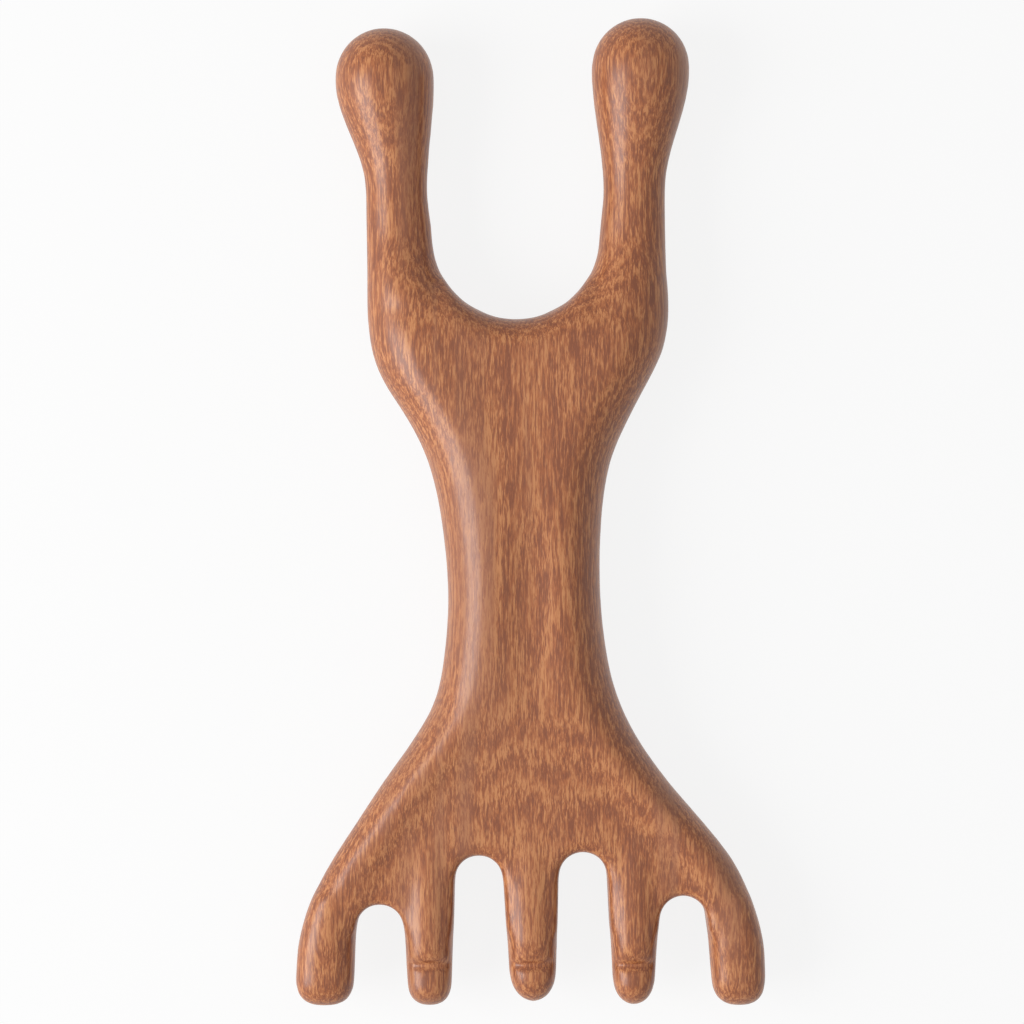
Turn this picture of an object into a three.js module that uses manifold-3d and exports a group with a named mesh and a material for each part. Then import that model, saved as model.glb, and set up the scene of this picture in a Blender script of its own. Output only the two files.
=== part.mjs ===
// A hand-carved wooden massage comb, in one piece: a fork with two ball ends, a waisted
// handle, and a spread palm with five short tines. Sizes are in millimetres. The comb lies
// on its back with +Z up and the fork towards +Y, its origin under the middle of its outline.
import * as THREE from 'three';
import Module from 'manifold-3d';
import { mergeVertices } from 'three/addons/utils/BufferGeometryUtils.js';

const wasm = await Module();
wasm.setup();

const MID_HEIGHT = 8.4; // mid plane of the plank above the flat back

// Handle and palm, from the fork's shoulders to the tines: the two edges, half the
// thickness, and how far in from the edge the round-over reaches.
const BODY_STATIONS = [
  { y: 39.0, left: -27.2, right: 22.8, half: 3.4, round: 4.0 },
  { y: 35.0, left: -27.3, right: 23.1, half: 6.8, round: 7.5 },
  { y: 31.0, left: -27.1, right: 22.9, half: 8.2, round: 9.0 },
  { y: 26.5, left: -26.4, right: 21.9, half: 8.7, round: 9.5 },
  { y: 21.9, left: -24.6, right: 19.6, half: 8.8, round: 9.5 },
  { y: 15.2, left: -20.3, right: 16.1, half: 8.8, round: 9.5 },
  { y: 8.5, left: -17.1, right: 13.3, half: 8.8, round: 9.0 },
  { y: -1.0, left: -14.9, right: 11.8, half: 8.8, round: 8.5 },
  { y: -14.0, left: -13.7, right: 11.6, half: 8.8, round: 8.0 },
  { y: -25.0, left: -14.5, right: 12.9, half: 8.7, round: 8.0 },
  { y: -32.0, left: -16.1, right: 14.9, half: 8.4, round: 8.0 },
  { y: -38.3, left: -19.7, right: 18.1, half: 7.9, round: 7.6 },
  { y: -45.0, left: -24.5, right: 22.9, half: 7.3, round: 7.0 },
  { y: -51.7, left: -28.9, right: 28.7, half: 6.6, round: 6.2 },
  { y: -58.3, left: -33.2, right: 33.9, half: 5.9, round: 5.5 },
  { y: -65.0, left: -36.7, right: 37.0, half: 5.3, round: 4.9 },
  { y: -72.0, left: -38.7, right: 38.9, half: 4.9, round: 4.5 },
  { y: -78.0, left: -39.2, right: 39.2, half: 4.5, round: 4.2 },
];
const TIP_Y = -82.5; // the longest tine's tip
const PALM_END_Y = TIP_Y + 12.5; // the palm's own slab stops here, inside the tines
const BODY_STEPS = 36; // stations of the lofted slab
const BODY_COLUMNS = 20; // points across one face

// Carved relief of the front face.
const VALLEY = { x: 0.3, y: -14.0, halfWidth: 3.2, halfLength: 12.0, depth: 1.3 };
const YOKE_DISH = { x: -4.0, y: 20.5, halfWidth: 6.0, halfLength: 8.0, depth: 0.5 };
const PALM_DISH = { depth: 1.1, rim: 4.5, slope: 6.0, startY: -28.0, fullY: -50.0 };

// The U between the horns: a half circle, with straight sides above it.
const FORK_GAP = { x: -2.5, y: 45.9, radius: 14.0, round: 6.0, half: 8.9 };

// Horns: a round neck that swells into a ball.
const HORNS = [
  { side: -1, neckX: -22.4, ballX: -24.4, ballY: 72.5, ballRadius: 8.3 },
  { side: 1, neckX: 17.3, ballX: 18.4, ballY: 74.3, ballRadius: 8.2 },
];
const HORN_NECK_Y = 53.4;
const HORN_NECK_RADIUS = 5.1;
const HORN_ROOT_Y = 32.3;
const HORN_ROOT_HALF = 7.8;

// Slots between the tines: the round top, and the wider mouth.
const SLOTS = [
  { x: -25.1, top: -65.1, half: 4.1, mouthX: -25.0, mouthHalf: 4.43 },
  { x: -8.6, top: -56.9, half: 4.15, mouthX: -8.3, mouthHalf: 4.86 },
  { x: 8.7, top: -56.3, half: 4.18, mouthX: 9.0, mouthHalf: 4.76 },
  { x: 25.4, top: -63.6, half: 4.05, mouthX: 25.5, mouthHalf: 4.74 },
];
const SLOT_MOUTH_Y = TIP_Y + 4.5;
const SLOT_ROUND = 2.2;
const SLOT_HALF = 5.9; // half thickness that the slots' round-over is laid out for

// Tines, from left to right: where each leaves the palm, its tip, and how square the tip is.
const TINES = [
  { start: -62.0, tip: TIP_Y, tipLength: 4.5, square: 2.7, crease: 0 },
  { start: -51.0, tip: TIP_Y + 0.1, tipLength: 3.6, square: 2.5, crease: 0.6 },
  { start: -49.0, tip: TIP_Y + 0.7, tipLength: 4.8, square: 2.0, crease: 0.6 },
  { start: -51.0, tip: TIP_Y + 0.2, tipLength: 4.3, square: 2.1, crease: 0.6 },
  { start: -62.0, tip: TIP_Y + 0.1, tipLength: 4.5, square: 2.7, crease: 0 },
];
const TINE_HALF = 5.3; // half thickness at the root
const TINE_TIP_HALF = 4.3; // half thickness where the tip's rounding starts
const TINE_SQUARENESS = 2.5; // exponent of the tine's section
const CREASE_Y = TIP_Y + 7.3;
const CREASE_WIDTH = 0.9;
const BURIED_SCALE = 0.6; // a tine's first ring, drawn in so that it starts inside the palm

const PLANING_SIZE = 400.0; // the plane that levels the back, wider than the comb

const RING_POINTS = 18; // points round a horn or a tine
const ARC_POINTS = 14; // points round a slot's or the fork's arc

function clamp01(value) {
  return Math.min(Math.max(value, 0), 1);
}

function ease(value) {
  const t = clamp01(value);
  return t * t * (3 - 2 * t);
}

function bell(offset, width) {
  const ratio = offset / width;
  return Math.exp(-0.5 * ratio * ratio);
}

// Smooth curve through one value of the stations, which run from +Y to -Y.
function bodyAt(key, y) {
  const last = BODY_STATIONS.length - 1;
  let i = 0;
  while (i < last - 1 && y < BODY_STATIONS[i + 1].y) {
    i += 1;
  }
  const from = BODY_STATIONS[i];
  const to = BODY_STATIONS[i + 1];
  const span = to.y - from.y;
  const t = clamp01((y - from.y) / span);
  const slopeAt = (index) => {
    const before = BODY_STATIONS[Math.max(index - 1, 0)];
    const after = BODY_STATIONS[Math.min(index + 1, last)];
    return (after[key] - before[key]) / (after.y - before.y);
  };
  const t2 = t * t;
  const t3 = t2 * t;
  const start = (2 * t3 - 3 * t2 + 1) * from[key] + (t3 - 2 * t2 + t) * span * slopeAt(i);
  return start + (3 * t2 - 2 * t3) * to[key] + (t3 - t2) * span * slopeAt(i + 1);
}

// Closed body over rings of as many points each, with a fan over each end.
function loft(rings) {
  const count = rings[0].length;
  const positions = [];
  const indices = [];
  for (const ring of rings) {
    for (const point of ring) {
      positions.push(point.x, point.y, point.z);
    }
  }
  const addCentre = (ring) => {
    const centre = new THREE.Vector3();
    ring.forEach((point) => centre.addScaledVector(point, 1 / count));
    positions.push(centre.x, centre.y, centre.z);
    return positions.length / 3 - 1;
  };
  for (let i = 0; i < rings.length - 1; i += 1) {
    for (let j = 0; j < count; j += 1) {
      const a = i * count + j;
      const b = i * count + ((j + 1) % count);
      indices.push(a, b, a + count, b, b + count, a + count);
    }
  }
  const first = addCentre(rings[0]);
  const final = addCentre(rings[rings.length - 1]);
  const offset = (rings.length - 1) * count;
  for (let j = 0; j < count; j += 1) {
    const next = (j + 1) % count;
    indices.push(first, next, j);
    indices.push(final, offset + j, offset + next);
  }
  const geometry = new THREE.BufferGeometry();
  geometry.setAttribute('position', new THREE.Float32BufferAttribute(positions, 3));
  geometry.setIndex(indices);
  return geometry;
}

function signedVolume(geometry) {
  const position = geometry.attributes.position;
  const index = geometry.index;
  const a = new THREE.Vector3();
  const b = new THREE.Vector3();
  const c = new THREE.Vector3();
  let total = 0;
  for (let i = 0; i < index.count; i += 3) {
    a.fromBufferAttribute(position, index.getX(i));
    b.fromBufferAttribute(position, index.getX(i + 1));
    c.fromBufferAttribute(position, index.getX(i + 2));
    total += a.dot(b.cross(c));
  }
  return total;
}

function toSolid(geometry) {
  const bare = geometry.clone();
  bare.deleteAttribute('normal');
  bare.deleteAttribute('uv');
  const merged = mergeVertices(bare);
  const triVerts = new Uint32Array(merged.index.array);
  if (signedVolume(merged) < 0) {
    for (let i = 0; i < triVerts.length; i += 3) {
      [triVerts[i + 1], triVerts[i + 2]] = [triVerts[i + 2], triVerts[i + 1]];
    }
  }
  const vertProperties = merged.attributes.position.array;
  return new wasm.Manifold(new wasm.Mesh({ numProp: 3, vertProperties, triVerts }));
}

// Ring across the comb at one Y: a round or squarish section between two edges.
function sectionRing(y, left, right, half, exponent) {
  const middle = (left + right) / 2;
  const across = (right - left) / 2;
  const ring = [];
  for (let j = 0; j < RING_POINTS; j += 1) {
    const angle = (2 * Math.PI * j) / RING_POINTS;
    const cosine = Math.cos(angle);
    const sine = Math.sin(angle);
    const x = middle + across * Math.sign(cosine) * Math.abs(cosine) ** (2 / exponent);
    const z = MID_HEIGHT + half * Math.sign(sine) * Math.abs(sine) ** (2 / exponent);
    ring.push(new THREE.Vector3(x, y, z));
  }
  return ring;
}

// How deep the front is carved below its plain round-over.
function frontRelief(x, y, fromEdge) {
  const valley = VALLEY.depth * bell(x - VALLEY.x, VALLEY.halfWidth) * bell(y - VALLEY.y, VALLEY.halfLength);
  const dish = YOKE_DISH.depth * bell(x - YOKE_DISH.x, YOKE_DISH.halfWidth)
    * bell(y - YOKE_DISH.y, YOKE_DISH.halfLength);
  const along = ease((PALM_DISH.startY - y) / (PALM_DISH.startY - PALM_DISH.fullY));
  const palm = PALM_DISH.depth * along * ease((fromEdge - PALM_DISH.rim) / PALM_DISH.slope);
  return valley + dish + palm;
}

function bodyRing(y) {
  const left = bodyAt('left', y);
  const right = bodyAt('right', y);
  const half = bodyAt('half', y);
  const round = bodyAt('round', y);
  const middle = (left + right) / 2;
  const across = (right - left) / 2;
  const front = [];
  const back = [];
  for (let j = 0; j <= BODY_COLUMNS; j += 1) {
    const place = -Math.cos((Math.PI * j) / BODY_COLUMNS);
    const fromEdge = across * (1 - Math.abs(place));
    const rise = Math.sqrt(1 - (1 - clamp01(fromEdge / round)) ** 2);
    const x = middle + across * place;
    const relief = frontRelief(x, y, fromEdge) * rise;
    front.push(new THREE.Vector3(x, y, MID_HEIGHT + half * rise - relief));
    if (j > 0 && j < BODY_COLUMNS) {
      back.unshift(new THREE.Vector3(x, y, MID_HEIGHT - half * rise));
    }
  }
  return [...front, ...back];
}

function bodySlab() {
  const top = BODY_STATIONS[0].y;
  const rings = [];
  for (let i = 0; i <= BODY_STEPS; i += 1) {
    rings.push(bodyRing(top + ((PALM_END_Y - top) * i) / BODY_STEPS));
  }
  return toSolid(loft(rings));
}

// Cutter with an outline that widens towards both faces, which leaves round edges.
function spool(half, round, outlineAt) {
  const beyond = 2.0;
  const steps = 4;
  const heights = [{ z: half + beyond, grow: round }];
  for (let i = 0; i <= steps; i += 1) {
    const angle = (Math.PI / 2) * (1 - i / steps);
    const z = half - round + round * Math.sin(angle);
    heights.push({ z, grow: round * (1 - Math.cos(angle)) });
  }
  const mirrored = heights.map(({ z, grow }) => ({ z: -z, grow })).reverse();
  const rings = [...heights, ...mirrored].map(({ z, grow }) => outlineAt(grow)
    .map((point) => new THREE.Vector3(point.x, point.y, MID_HEIGHT + z)));
  return toSolid(loft(rings));
}

function arc(x, y, radius, from, to) {
  const points = [];
  for (let i = 0; i <= ARC_POINTS; i += 1) {
    const angle = from + ((to - from) * i) / ARC_POINTS;
    points.push({ x: x + radius * Math.cos(angle), y: y + radius * Math.sin(angle) });
  }
  return points;
}

function forkGap() {
  const openY = BODY_STATIONS[0].y + FORK_GAP.radius;
  return spool(FORK_GAP.half, FORK_GAP.round, (grow) => {
    const radius = FORK_GAP.radius + grow;
    return [
      ...arc(FORK_GAP.x, FORK_GAP.y, radius, Math.PI, 2 * Math.PI),
      { x: FORK_GAP.x + radius, y: openY },
      { x: FORK_GAP.x - radius, y: openY },
    ];
  });
}

// Wall of a slot at one Y: side -1 is its left wall, side 1 its right wall.
function slotWall(slot, side, y) {
  const arcY = slot.top - slot.half;
  const t = Math.max((arcY - y) / (arcY - SLOT_MOUTH_Y), 0);
  const middle = slot.x + (slot.mouthX - slot.x) * t;
  return middle + side * (slot.half + (slot.mouthHalf - slot.half) * t);
}

function slotCutter(slot) {
  const openY = PALM_END_Y - slot.half;
  return spool(SLOT_HALF, SLOT_ROUND, (grow) => [
    ...arc(slot.x, slot.top - slot.half, slot.half + grow, 0, Math.PI),
    { x: slotWall(slot, -1, openY) - grow, y: openY },
    { x: slotWall(slot, 1, openY) + grow, y: openY },
  ]);
}

function horn({ side, neckX, ballX, ballY, ballRadius }) {
  const rootSteps = 8;
  const neckSteps = 8;
  const ballSteps = 6;
  const rings = [];
  for (let i = 0; i < rootSteps; i += 1) {
    const t = i / rootSteps;
    const y = HORN_ROOT_Y + (HORN_NECK_Y - HORN_ROOT_Y) * t;
    const half = HORN_ROOT_HALF + (HORN_NECK_RADIUS - HORN_ROOT_HALF) * ease(t / 0.7);
    const drop = Math.min(y - FORK_GAP.y, 0);
    const rise = ease(Math.max(y - FORK_GAP.y, 0) / (HORN_NECK_Y - FORK_GAP.y));
    const arcEdge = FORK_GAP.x + side * Math.sqrt(FORK_GAP.radius ** 2 - drop ** 2);
    const inner = arcEdge + (neckX - side * HORN_NECK_RADIUS - arcEdge) * rise;
    const shoulder = bodyAt(side < 0 ? 'left' : 'right', y);
    const outer = shoulder + (neckX + side * HORN_NECK_RADIUS - shoulder) * ease(t);
    rings.push(sectionRing(y, Math.min(inner, outer), Math.max(inner, outer), half, 2));
  }
  for (let i = 0; i < neckSteps; i += 1) {
    const t = i / neckSteps;
    const swell = (1 - Math.cos(Math.PI * t)) / 2;
    const x = neckX + (ballX - neckX) * swell;
    const radius = HORN_NECK_RADIUS + (ballRadius - HORN_NECK_RADIUS) * swell;
    rings.push(sectionRing(HORN_NECK_Y + (ballY - HORN_NECK_Y) * t, x - radius, x + radius, radius, 2));
  }
  for (let i = 0; i < ballSteps; i += 1) {
    const angle = ((Math.PI / 2) * i) / ballSteps;
    const radius = ballRadius * Math.cos(angle);
    rings.push(sectionRing(ballY + ballRadius * Math.sin(angle), ballX - radius, ballX + radius, radius, 2));
  }
  const poleRadius = ballRadius * 0.05;
  const poleY = ballY + Math.sqrt(ballRadius ** 2 - poleRadius ** 2);
  rings.push(sectionRing(poleY, ballX - poleRadius, ballX + poleRadius, poleRadius, 2));
  return toSolid(loft(rings));
}

function tineHalf(tine, y) {
  const t = ease((PALM_END_Y - y) / (PALM_END_Y - (tine.tip + tine.tipLength)));
  const plain = TINE_HALF + (TINE_TIP_HALF - TINE_HALF) * t;
  return plain - tine.crease * bell(y - CREASE_Y, CREASE_WIDTH);
}

function tine(index) {
  const size = TINES[index];
  const leftAt = (y) => (index === 0 ? bodyAt('left', y) : slotWall(SLOTS[index - 1], 1, y));
  const rightAt = (y) => (index === SLOTS.length ? bodyAt('right', y) : slotWall(SLOTS[index], -1, y));
  const tipStart = size.tip + size.tipLength;
  const shankSteps = 10;
  const tipSteps = 6;
  const rings = [];
  const addRing = (y, wide, thick) => {
    const middle = (leftAt(y) + rightAt(y)) / 2;
    const across = ((rightAt(y) - leftAt(y)) / 2) * wide;
    rings.push(sectionRing(y, middle - across, middle + across, tineHalf(size, y) * thick, TINE_SQUARENESS));
  };
  addRing(size.start, BURIED_SCALE, BURIED_SCALE);
  for (let i = 1; i <= shankSteps; i += 1) {
    addRing(size.start + ((tipStart - size.start) * i) / shankSteps, 1, 1);
  }
  for (let i = 1; i <= tipSteps; i += 1) {
    const t = Math.sin((Math.PI / 2) * (i / (tipSteps + 0.2)));
    const shrink = (1 - t ** size.square) ** (1 / size.square);
    addRing(tipStart - size.tipLength * t, shrink, Math.sqrt(1 - t * t));
  }
  return toSolid(loft(rings));
}

// Everything under the table's plane is planed off, which leaves the flat back.
function planedBack() {
  const depth = 10;
  const plane = new THREE.BoxGeometry(PLANING_SIZE, PLANING_SIZE, depth);
  plane.translate(0, 0, -depth / 2);
  return toSolid(plane);
}

function carvedBody() {
  let solid = bodySlab().subtract(forkGap());
  for (const slot of SLOTS) {
    solid = solid.subtract(slotCutter(slot));
  }
  for (const size of HORNS) {
    solid = solid.add(horn(size));
  }
  for (let index = 0; index < TINES.length; index += 1) {
    solid = solid.add(tine(index));
  }
  const mesh = solid.subtract(planedBack()).getMesh();
  const geometry = new THREE.BufferGeometry();
  geometry.setAttribute('position', new THREE.BufferAttribute(mesh.vertProperties, 3));
  geometry.setIndex(new THREE.BufferAttribute(mesh.triVerts, 1));
  geometry.computeVertexNormals();
  return geometry;
}

const oiledWood = new THREE.MeshStandardMaterial({ color: 0xa5582c, roughness: 0.42, metalness: 0 });
const body = new THREE.Mesh(carvedBody(), oiledWood);
body.name = 'carved_body';

const comb = new THREE.Group();
comb.add(body);

export default comb;
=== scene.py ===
"""Looks of a hand-carved wooden massage comb: its sanded surface, its waxed wood and the studio."""

import bmesh
import bpy
import numpy as np
from bpy.props import FloatProperty, FloatVectorProperty, IntProperty, PointerProperty
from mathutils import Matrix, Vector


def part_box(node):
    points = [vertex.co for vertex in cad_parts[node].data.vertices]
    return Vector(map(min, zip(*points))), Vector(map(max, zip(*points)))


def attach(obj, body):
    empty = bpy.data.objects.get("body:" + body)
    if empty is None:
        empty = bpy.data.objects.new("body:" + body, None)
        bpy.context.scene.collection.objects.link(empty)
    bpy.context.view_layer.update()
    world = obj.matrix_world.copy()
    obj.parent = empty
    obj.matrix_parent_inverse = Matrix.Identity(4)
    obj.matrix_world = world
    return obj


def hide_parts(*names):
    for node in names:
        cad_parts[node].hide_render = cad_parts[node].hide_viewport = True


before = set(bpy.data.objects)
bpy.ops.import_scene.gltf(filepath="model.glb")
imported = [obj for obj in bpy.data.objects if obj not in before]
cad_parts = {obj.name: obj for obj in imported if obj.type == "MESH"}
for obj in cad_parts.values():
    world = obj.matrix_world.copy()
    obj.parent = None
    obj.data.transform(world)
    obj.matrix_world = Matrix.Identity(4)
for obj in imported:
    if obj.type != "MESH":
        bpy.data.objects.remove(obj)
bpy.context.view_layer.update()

bl_info = {
    "name": "Carved massage comb",
    "version": (1, 0, 0),
    "blender": (4, 5, 0),
    "location": "View3D > Sidebar > Comb",
    "description": "Builds a carved wooden massage comb around its packed frame",
    "category": "Object",
}

NODE = "carved_body"
MM = 0.001
HALF_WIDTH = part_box(NODE)[1][0]
MID_HEIGHT = 8.4 * MM  # the outline lies at this height above the flat back
MIDDLE_TINES = 0.72  # share of the half width that holds the three creased tines
RING_SHARE = 0.11
RIBBON_SHARE = 0.25
TONE_RANGE = (0.66, 1.36)
WHITE_SHARE = 0.86  # how much of the floor is plain white to the camera
FLOOR_GAP = 0.02 * MM
KEY_PLACE = (-0.62, -0.12, 0.44)
KEY_SIZE = 0.55
FILL_PLACE = (0.10, -0.05, 0.95)
FILL_SIZE = 0.9


class CarvingSettings(bpy.types.PropertyGroup):
    """Sizes of the sanded surface and of what is cut into it."""

    voxel: FloatProperty(
        name="Voxel", description="Edge of the fine mesh", default=0.43 * MM, unit="LENGTH", precision=5
    )
    sanding: IntProperty(name="Sanding", description="Smoothing steps over the facets", default=16)
    swell: FloatProperty(
        name="Swell",
        description="Gives back what the sanding takes off",
        default=0.12 * MM,
        unit="LENGTH",
        precision=5,
    )
    ripple: FloatProperty(
        name="Ripple",
        description="Height of the hand-worked waves",
        default=0.12 * MM,
        unit="LENGTH",
        precision=5,
    )
    ripple_scale: FloatProperty(name="Ripple Scale", description="Waves in a metre", default=60.0)
    crease_depth: FloatProperty(
        name="Crease Depth",
        description="Groove behind the tips",
        default=0.85 * MM,
        unit="LENGTH",
        precision=5,
    )
    crease_width: FloatProperty(
        name="Crease Width",
        description="Half width of that groove",
        default=0.75 * MM,
        unit="LENGTH",
        precision=5,
    )
    crease_y: FloatProperty(
        name="Crease Place", description="Y of the groove", default=-75.2 * MM, unit="LENGTH", precision=5
    )


class WoodSettings(bpy.types.PropertyGroup):
    """Colours and scales of the waxed wood."""

    dark: FloatVectorProperty(
        name="Late Wood", description="Darkest streaks", default=(0.225, 0.063, 0.022), subtype="COLOR"
    )
    middle: FloatVectorProperty(
        name="Heartwood", description="Main colour", default=(0.380, 0.117, 0.037), subtype="COLOR"
    )
    pale: FloatVectorProperty(
        name="Pale Fibre", description="Palest streaks", default=(0.56, 0.232, 0.088), subtype="COLOR"
    )
    ribbon: FloatVectorProperty(
        name="Ribbon", description="Dull violet-brown bands", default=(0.275, 0.105, 0.056), subtype="COLOR"
    )
    streak_width: FloatProperty(
        name="Streak Width", description="Across the grain", default=0.44 * MM, unit="LENGTH", precision=5
    )
    streak_length: FloatProperty(
        name="Streak Length", description="Along the grain", default=5.0 * MM, unit="LENGTH", precision=5
    )
    ring_gap: FloatProperty(
        name="Ring Gap", description="Between growth layers", default=0.95 * MM, unit="LENGTH", precision=5
    )


class StageSettings(bpy.types.PropertyGroup):
    """Camera, lamps and floor."""

    lens: FloatProperty(name="Lens", description="Focal length in millimetres", default=100.0)
    frame_width: FloatProperty(
        name="Frame Width", description="Width of the picture at the comb", default=171.2 * MM, unit="LENGTH"
    )
    centre_x: FloatProperty(
        name="Centre X", description="X under the camera", default=-3.1 * MM, unit="LENGTH", precision=5
    )
    key_power: FloatProperty(name="Key Power", description="Soft lamp on the left", default=6.2, unit="POWER")
    fill_power: FloatProperty(name="Fill Power", description="Lamp above", default=0.6, unit="POWER")
    ambient: FloatProperty(name="Ambient", description="Light from all round", default=0.35)


def scene_settings():
    return bpy.context.scene.comb_carving, bpy.context.scene.comb_wood, bpy.context.scene.comb_stage


def enabled_socket(sockets, name):
    """The one shown socket of this name, on a node that keeps a socket for each data type."""
    return next(socket for socket in sockets if socket.enabled and socket.name == name)


class NodeSheet:
    """Short ways to add and join nodes in one tree."""

    def __init__(self, tree):
        self.tree = tree

    def add(self, kind, **values):
        node = self.tree.nodes.new(kind)
        for key, value in values.items():
            setattr(node, key, value)
        return node

    def join(self, source, target):
        self.tree.links.new(source, target)

    def feed(self, target, value):
        if isinstance(value, bpy.types.NodeSocket):
            self.join(value, target)
        else:
            target.default_value = value

    def math(self, operation, first, second=0.0, third=0.0):
        node = self.add("ShaderNodeMath", operation=operation)
        for socket, value in zip(node.inputs, (first, second, third)):
            self.feed(socket, value)
        return node.outputs[0]

    def spread(self, value, low, high, to_low=0.0, to_high=1.0):
        node = self.add("ShaderNodeMapRange", interpolation_type="SMOOTHSTEP")
        for socket, entry in zip(node.inputs, (value, low, high, to_low, to_high)):
            self.feed(socket, entry)
        return node.outputs[0]

    def stretched(self, vector, scale, place=(0.0, 0.0, 0.0)):
        node = self.add("ShaderNodeMapping")
        self.feed(node.inputs["Vector"], vector)
        node.inputs["Location"].default_value = place
        node.inputs["Scale"].default_value = scale
        return node.outputs[0]

    def noise(self, vector, detail=2.0, roughness=0.5, distortion=0.0):
        node = self.add("ShaderNodeTexNoise")
        self.feed(node.inputs["Vector"], vector)
        values = {"Scale": 1.0, "Detail": detail, "Roughness": roughness, "Distortion": distortion}
        for name, value in values.items():
            node.inputs[name].default_value = value
        return node.outputs["Fac"]

    def mix(self, factor, first, second, blend="MIX"):
        node = self.add("ShaderNodeMix", data_type="RGBA", blend_type=blend)
        self.feed(node.inputs["Factor"], factor)
        self.feed(enabled_socket(node.inputs, "A"), first)
        self.feed(enabled_socket(node.inputs, "B"), second)
        return enabled_socket(node.outputs, "Result")


def colour(value):
    return (*value, 1.0)


def wood_material(wood):
    """Streaks along the grain, growth layers that show as contours on slopes, and open pores."""
    material = bpy.data.materials.new("waxed_wood")
    material.use_nodes = True
    sheet = NodeSheet(material.node_tree)
    shader = material.node_tree.nodes["Principled BSDF"]
    place = sheet.add("ShaderNodeTexCoord").outputs["Object"]

    across, along = 1.0 / wood.streak_width, 1.0 / wood.streak_length
    warp = sheet.noise(sheet.stretched(place, (95.0, 16.0, 95.0)), 2.0)
    streaks = sheet.noise(sheet.stretched(place, (across, along, across)), 3.0, 0.6, 0.4)
    fibre_place = sheet.stretched(place, (across * 2.3, along * 2.4, across * 2.3), (3.1, 0.7, 1.9))
    fibres = sheet.noise(fibre_place, 3.0, 0.65)
    ribbons = sheet.noise(sheet.stretched(place, (130.0, 9.0, 70.0), (0.4, 0.1, 0.6)), 2.0, 0.5, 0.6)

    height = sheet.add("ShaderNodeSeparateXYZ")
    sheet.join(place, height.inputs[0])
    bend = sheet.math("MULTIPLY", warp, 3.2)
    layer = sheet.math("MULTIPLY_ADD", height.outputs["Z"], 1.0 / wood.ring_gap, bend)
    layer = sheet.math("ADD", layer, sheet.math("MULTIPLY", fibres, 0.9))
    wave = sheet.math("SINE", sheet.math("MULTIPLY", layer, 2.0 * np.pi))
    rings = sheet.math("MULTIPLY_ADD", wave, 0.5, 0.5)

    tone = sheet.math("MULTIPLY_ADD", streaks, 0.95, sheet.math("MULTIPLY", fibres, 0.75))
    tone = sheet.math("ADD", tone, sheet.math("MULTIPLY", rings, RING_SHARE))
    tone = sheet.math("ADD", tone, sheet.math("MULTIPLY", ribbons, RIBBON_SHARE))
    ramp = sheet.add("ShaderNodeValToRGB")
    ramp.color_ramp.elements[0].position = 0.28
    ramp.color_ramp.elements[0].color = colour(wood.dark)
    ramp.color_ramp.elements[1].position = 0.82
    ramp.color_ramp.elements[1].color = colour(wood.pale)
    ramp.color_ramp.elements.new(0.55).color = colour(wood.middle)
    sheet.join(sheet.spread(tone, *TONE_RANGE), ramp.inputs["Fac"])

    pore_place = sheet.stretched(place, (across * 2.2, along * 3.0, across * 2.2), (7.0, 2.0, 5.0))
    pores = sheet.spread(sheet.noise(pore_place, 1.0, 0.5), 0.30, 0.38, 1.0, 0.0)
    fleck_place = sheet.stretched(place, (across * 1.7, along * 2.2, across * 1.7), (1.0, 9.0, 4.0))
    flecks = sheet.spread(sheet.noise(fleck_place, 2.0, 0.6), 0.56, 0.70)
    ribbon_share = sheet.spread(ribbons, 0.46, 0.66, 0.0, 0.6)
    banded = sheet.mix(ribbon_share, ramp.outputs["Color"], colour(wood.ribbon))
    flecked = sheet.mix(sheet.math("MULTIPLY", flecks, 0.5), banded, colour(wood.pale))
    pored = sheet.mix(sheet.math("MULTIPLY", pores, 0.55), flecked, colour(wood.dark))
    sheet.join(pored, shader.inputs["Base Color"])

    sheet.join(sheet.spread(fibres, 0.3, 0.7, 0.44, 0.60), shader.inputs["Roughness"])
    bump = sheet.add("ShaderNodeBump")
    bump.inputs["Strength"].default_value = 0.35
    bump.inputs["Distance"].default_value = 0.05 * MM
    sheet.join(sheet.math("SUBTRACT", tone, pores), bump.inputs["Height"])
    sheet.join(bump.outputs["Normal"], shader.inputs["Normal"])
    shader.inputs["Coat Weight"].default_value = 0.42
    shader.inputs["Coat Roughness"].default_value = 0.27
    shader.inputs["Specular IOR Level"].default_value = 0.35
    return material


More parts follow.
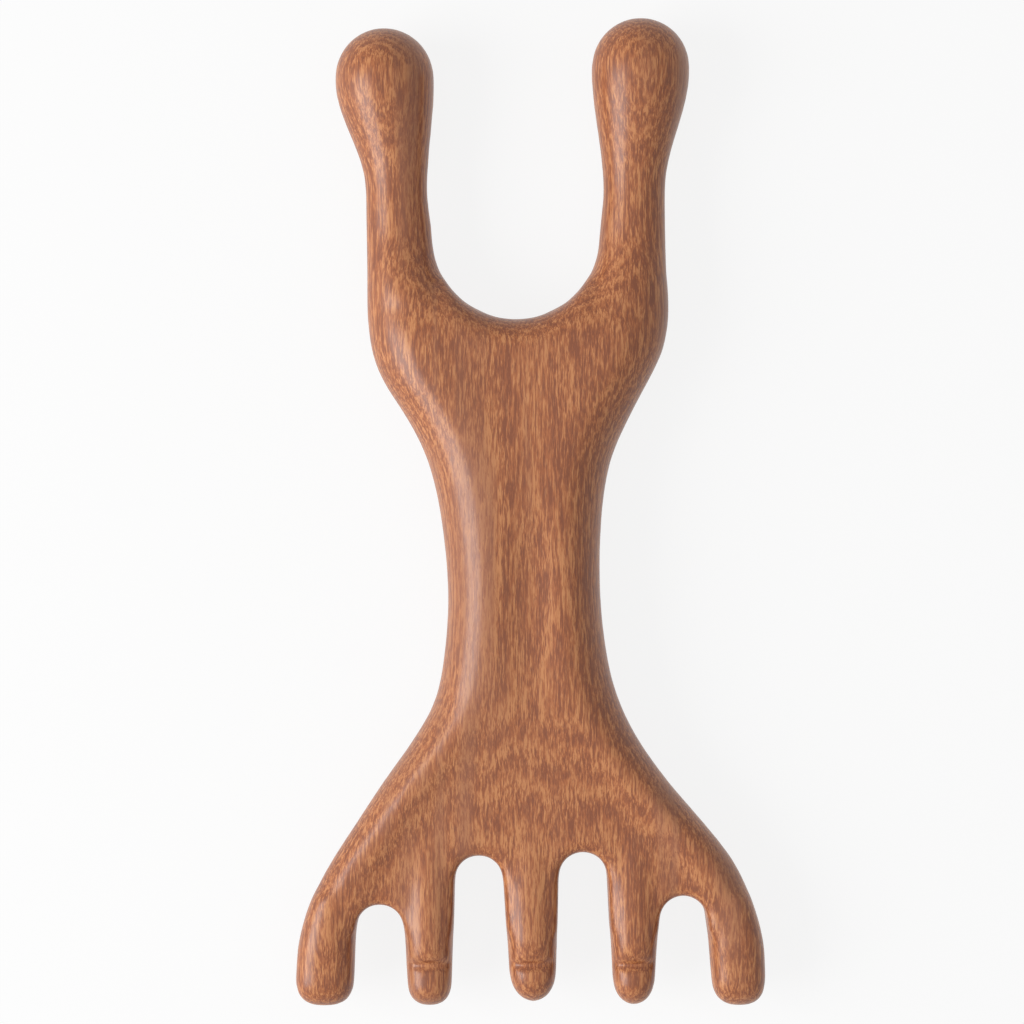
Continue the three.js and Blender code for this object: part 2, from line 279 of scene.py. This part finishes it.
def sanding_tree(material):
    """Blurs the facets away, swells the wood back to size and adds the waves of hand work."""
    tree = bpy.data.node_groups.new("sanded_surface", "GeometryNodeTree")
    face = tree.interface
    face.new_socket("Geometry", in_out="INPUT", socket_type="NodeSocketGeometry")
    face.new_socket("Sanding", in_out="INPUT", socket_type="NodeSocketInt")
    for name in ("Swell", "Ripple", "Ripple Scale"):
        face.new_socket(name, in_out="INPUT", socket_type="NodeSocketFloat")
    face.new_socket("Geometry", in_out="OUTPUT", socket_type="NodeSocketGeometry")
    sheet = NodeSheet(tree)
    entry = sheet.add("NodeGroupInput")

    blur = sheet.add("GeometryNodeBlurAttribute", data_type="FLOAT_VECTOR")
    sheet.join(sheet.add("GeometryNodeInputPosition").outputs[0], enabled_socket(blur.inputs, "Value"))
    sheet.join(entry.outputs["Sanding"], blur.inputs["Iterations"])
    sanded = sheet.add("GeometryNodeSetPosition")
    sheet.join(entry.outputs["Geometry"], sanded.inputs["Geometry"])
    sheet.join(enabled_socket(blur.outputs, "Value"), sanded.inputs["Position"])

    waves = sheet.add("ShaderNodeTexNoise")
    sheet.join(entry.outputs["Ripple Scale"], waves.inputs["Scale"])
    waves.inputs["Detail"].default_value = 1.0
    centred = sheet.math("SUBTRACT", waves.outputs["Fac"], 0.5)
    lift = sheet.math("MULTIPLY_ADD", centred, entry.outputs["Ripple"], entry.outputs["Swell"])
    push = sheet.add("ShaderNodeVectorMath", operation="SCALE")
    sheet.join(sheet.add("GeometryNodeInputNormal").outputs[0], push.inputs[0])
    sheet.join(lift, push.inputs["Scale"])
    worked = sheet.add("GeometryNodeSetPosition")
    sheet.join(sanded.outputs[0], worked.inputs["Geometry"])
    sheet.join(push.outputs[0], worked.inputs["Offset"])

    real = sheet.add("GeometryNodeRealizeInstances")
    finish = sheet.add("GeometryNodeSetMaterial")
    finish.inputs["Material"].default_value = material
    leave = sheet.add("NodeGroupOutput")
    sheet.join(worked.outputs[0], real.inputs[0])
    sheet.join(real.outputs[0], finish.inputs["Geometry"])
    sheet.join(finish.outputs[0], leave.inputs[0])
    return tree


def applied(piece, name):
    """The piece's evaluated mesh as a plain object, with the piece itself removed."""
    depsgraph = bpy.context.evaluated_depsgraph_get()
    mesh = bpy.data.meshes.new_from_object(piece.evaluated_get(depsgraph))
    bpy.data.objects.remove(piece, do_unlink=True)
    finished = bpy.data.objects.new(name, mesh)
    bpy.context.scene.collection.objects.link(finished)
    return finished


def merged_copy(node):
    """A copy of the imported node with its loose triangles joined."""
    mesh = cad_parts[node].data.copy()
    work = bmesh.new()
    work.from_mesh(mesh)
    bmesh.ops.remove_doubles(work, verts=work.verts, dist=0.001 * MM)
    work.to_mesh(mesh)
    work.free()
    piece = bpy.data.objects.new("comb_blank", mesh)
    bpy.context.scene.collection.objects.link(piece)
    return piece


def cut_creases(mesh, carving):
    """Presses the groove behind each middle tip into the front face."""
    count = len(mesh.vertices)
    points = np.empty(count * 3)
    normals = np.empty(count * 3)
    mesh.vertices.foreach_get("co", points)
    mesh.vertex_normals.foreach_get("vector", normals)
    points = points.reshape(-1, 3)
    facing = np.clip(normals.reshape(-1, 3)[:, 2], 0.0, 1.0)
    middle = np.abs(points[:, 0]) < MIDDLE_TINES * HALF_WIDTH
    groove = np.exp(-(((points[:, 1] - carving.crease_y) / carving.crease_width) ** 2))
    points[:, 2] -= carving.crease_depth * groove * facing * middle
    mesh.vertices.foreach_set("co", points.ravel())
    mesh.update()


class COMB_OT_body(bpy.types.Operator):
    """Sand the carved body to a fine surface and give it its waxed wood."""

    bl_idname = "comb.body"
    bl_label = "Carved Body"

    def execute(self, context):
        carving, wood, _ = scene_settings()
        piece = merged_copy(NODE)
        remesh = piece.modifiers.new("fine_mesh", "REMESH")
        remesh.mode = "VOXEL"
        remesh.voxel_size = carving.voxel
        tree = sanding_tree(wood_material(wood))
        sanding = piece.modifiers.new("sanding", "NODES")
        sanding.node_group = tree
        sizes = {
            "Sanding": carving.sanding,
            "Swell": carving.swell,
            "Ripple": carving.ripple,
            "Ripple Scale": carving.ripple_scale,
        }
        for item in tree.interface.items_tree:
            if item.in_out == "INPUT" and item.name in sizes:
                sanding[item.identifier] = sizes[item.name]
        body = applied(piece, "comb_body")
        cut_creases(body.data, carving)
        body.data.shade_smooth()
        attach(body, "root")
        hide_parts(NODE)
        return {"FINISHED"}


def area_lamp(name, place, aim, size, power):
    lamp = bpy.data.lights.new(name, "AREA")
    lamp.size = size
    lamp.energy = power
    holder = bpy.data.objects.new(name, lamp)
    holder.location = place
    direction = aim - holder.location
    holder.rotation_euler = direction.to_track_quat("-Z", "Y").to_euler()
    bpy.context.scene.collection.objects.link(holder)


def seen_directly(sheet):
    """1 for rays from the camera, from a mirror-like surface or through glass."""
    path = sheet.add("ShaderNodeLightPath")
    seen = sheet.math("MAXIMUM", path.outputs["Is Camera Ray"], path.outputs["Is Glossy Ray"])
    return sheet.math("MAXIMUM", seen, path.outputs["Is Transmission Ray"])


def white_floor():
    """A floor that looks white and keeps the comb's soft shadow."""
    reach = 3.0
    mesh = bpy.data.meshes.new("floor")
    corners = [(-reach, -reach, 0.0), (reach, -reach, 0.0), (reach, reach, 0.0), (-reach, reach, 0.0)]
    mesh.from_pydata(corners, [], [(0, 1, 2, 3)])
    floor = bpy.data.objects.new("floor", mesh)
    floor.location.z = -FLOOR_GAP
    bpy.context.scene.collection.objects.link(floor)
    material = bpy.data.materials.new("pale_floor")
    material.use_nodes = True
    sheet = NodeSheet(material.node_tree)
    shader = material.node_tree.nodes["Principled BSDF"]
    shader.inputs["Base Color"].default_value = (0.80, 0.80, 0.80, 1.0)
    shader.inputs["Roughness"].default_value = 1.0
    glow = sheet.add("ShaderNodeEmission")
    blend = sheet.add("ShaderNodeMixShader")
    sheet.join(sheet.math("MULTIPLY", seen_directly(sheet), WHITE_SHARE), blend.inputs[0])
    sheet.join(shader.outputs[0], blend.inputs[1])
    sheet.join(glow.outputs[0], blend.inputs[2])
    sheet.join(blend.outputs[0], material.node_tree.nodes["Material Output"].inputs["Surface"])
    mesh.materials.append(material)


def white_surround(ambient):
    world = bpy.data.worlds.new("surround")
    bpy.context.scene.world = world
    world.use_nodes = True
    sheet = NodeSheet(world.node_tree)
    background = world.node_tree.nodes["Background"]
    background.inputs["Color"].default_value = (1.0, 1.0, 1.0, 1.0)
    strength = sheet.spread(seen_directly(sheet), 0.0, 1.0, ambient, 1.0)
    sheet.join(strength, background.inputs["Strength"])


class COMB_OT_stage(bpy.types.Operator):
    """Set up the camera above the comb, the soft lamps and the white floor."""

    bl_idname = "comb.stage"
    bl_label = "Stage"

    def execute(self, context):
        _, _, stage = scene_settings()
        scene = context.scene
        scene.view_settings.view_transform = "Standard"
        camera = bpy.data.cameras.new("camera")
        camera.lens = stage.lens
        camera.clip_end = 20.0
        holder = bpy.data.objects.new("camera", camera)
        distance = stage.frame_width * stage.lens / camera.sensor_width
        holder.location = (stage.centre_x, 0.0, MID_HEIGHT + distance)
        scene.collection.objects.link(holder)
        scene.camera = holder
        aim = holder.location.copy()
        aim.z = MID_HEIGHT
        area_lamp("key_left", KEY_PLACE, aim, KEY_SIZE, stage.key_power)
        area_lamp("fill_above", FILL_PLACE, aim, FILL_SIZE, stage.fill_power)
        white_floor()
        white_surround(stage.ambient)
        return {"FINISHED"}


class COMB_PT_panel(bpy.types.Panel):
    """Lists the comb's operators and settings."""

    bl_idname = "COMB_PT_panel"
    bl_label = "Comb"
    bl_space_type = "VIEW_3D"
    bl_region_type = "UI"
    bl_category = "Comb"

    def draw(self, context):
        for operator in ("comb.body", "comb.stage"):
            self.layout.operator(operator)
        for settings in scene_settings():
            for key in settings.bl_rna.properties.keys():
                if key not in ("rna_type", "name"):
                    self.layout.prop(settings, key)


CLASSES = (CarvingSettings, WoodSettings, StageSettings, COMB_OT_body, COMB_OT_stage, COMB_PT_panel)


def register():
    for entry in CLASSES:
        bpy.utils.register_class(entry)
    bpy.types.Scene.comb_carving = PointerProperty(type=CarvingSettings)
    bpy.types.Scene.comb_wood = PointerProperty(type=WoodSettings)
    bpy.types.Scene.comb_stage = PointerProperty(type=StageSettings)


def unregister():
    for name in ("comb_carving", "comb_wood", "comb_stage"):
        delattr(bpy.types.Scene, name)
    for entry in reversed(CLASSES):
        bpy.utils.unregister_class(entry)


def main():
    register()
    bpy.ops.comb.body()
    bpy.ops.comb.stage()


if __name__ == "__main__":
    main()
